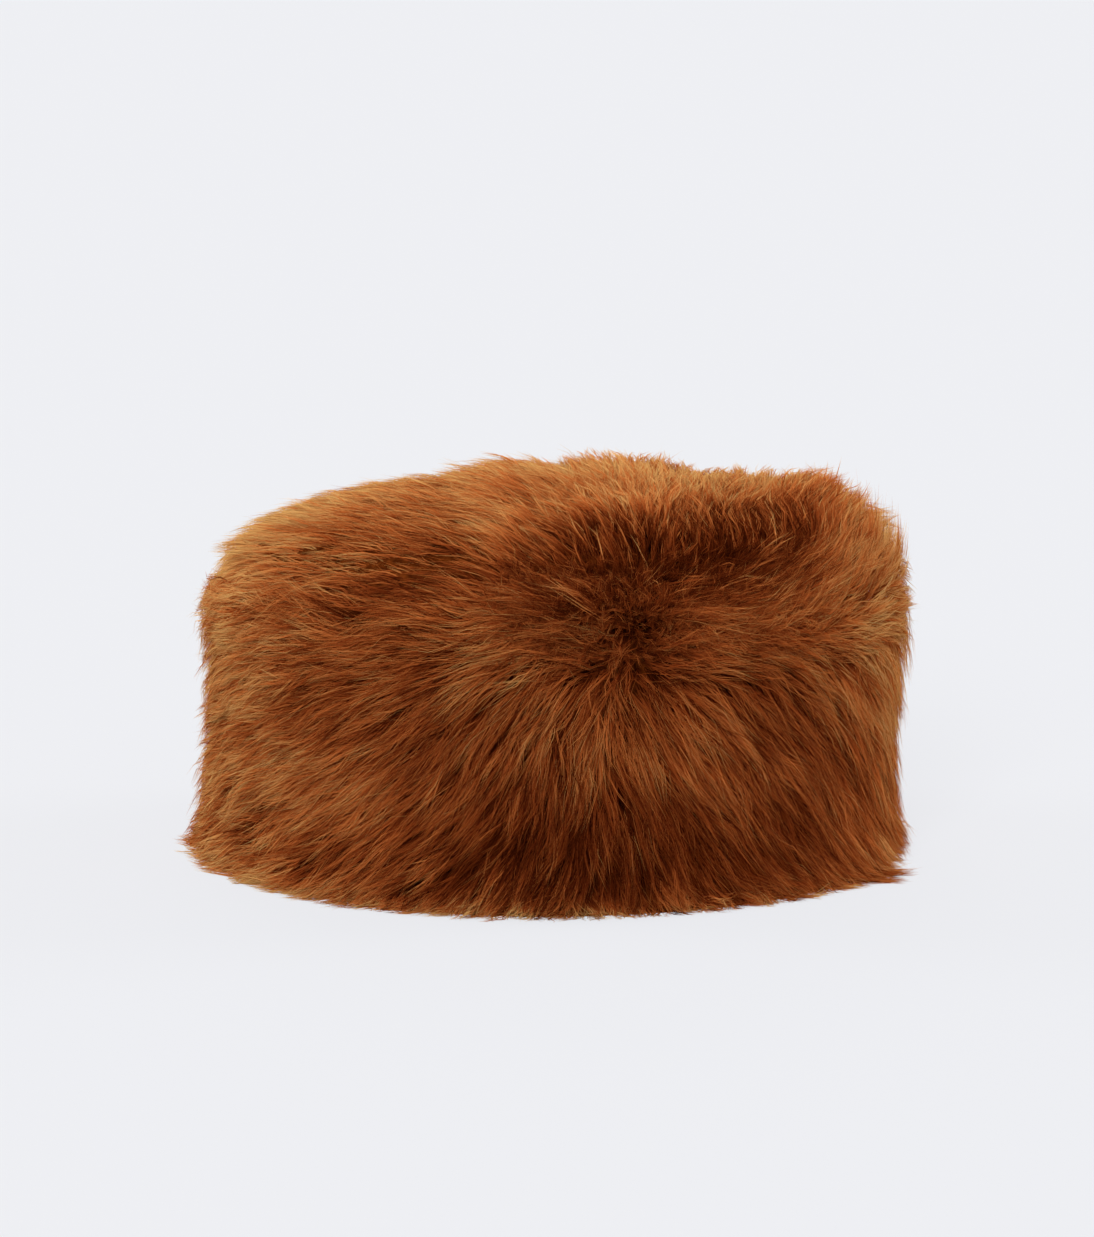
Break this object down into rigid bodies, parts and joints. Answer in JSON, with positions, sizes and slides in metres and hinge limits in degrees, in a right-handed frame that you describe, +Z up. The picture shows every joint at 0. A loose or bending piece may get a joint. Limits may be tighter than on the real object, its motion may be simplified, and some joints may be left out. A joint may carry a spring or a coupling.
{
  "type": "shearling hat",
  "caption": "Round shearling pillbox hat standing on its hem: a deep-furred side band and a domed furred crown on thin hides, open below for the head.",
  "frame": {"origin": "on the surface that the hat stands on, under its middle", "axes": "+Z up through the crown, -Y towards the brow (the front), +X to the wearer's left"},
  "size_m": [0.2504, 0.2594, 0.128],
  "materials": {
    "suede": "tanned flesh side, matt, reddish brown",
    "wool": "long straight dyed wool, red-brown with golden tips"
  },
  "bodies": {
    "root": {"side_hide": "suede", "crown_hide": "suede", "side_fleece": "wool", "crown_fleece": "wool"}
  },
  "joints": []
}
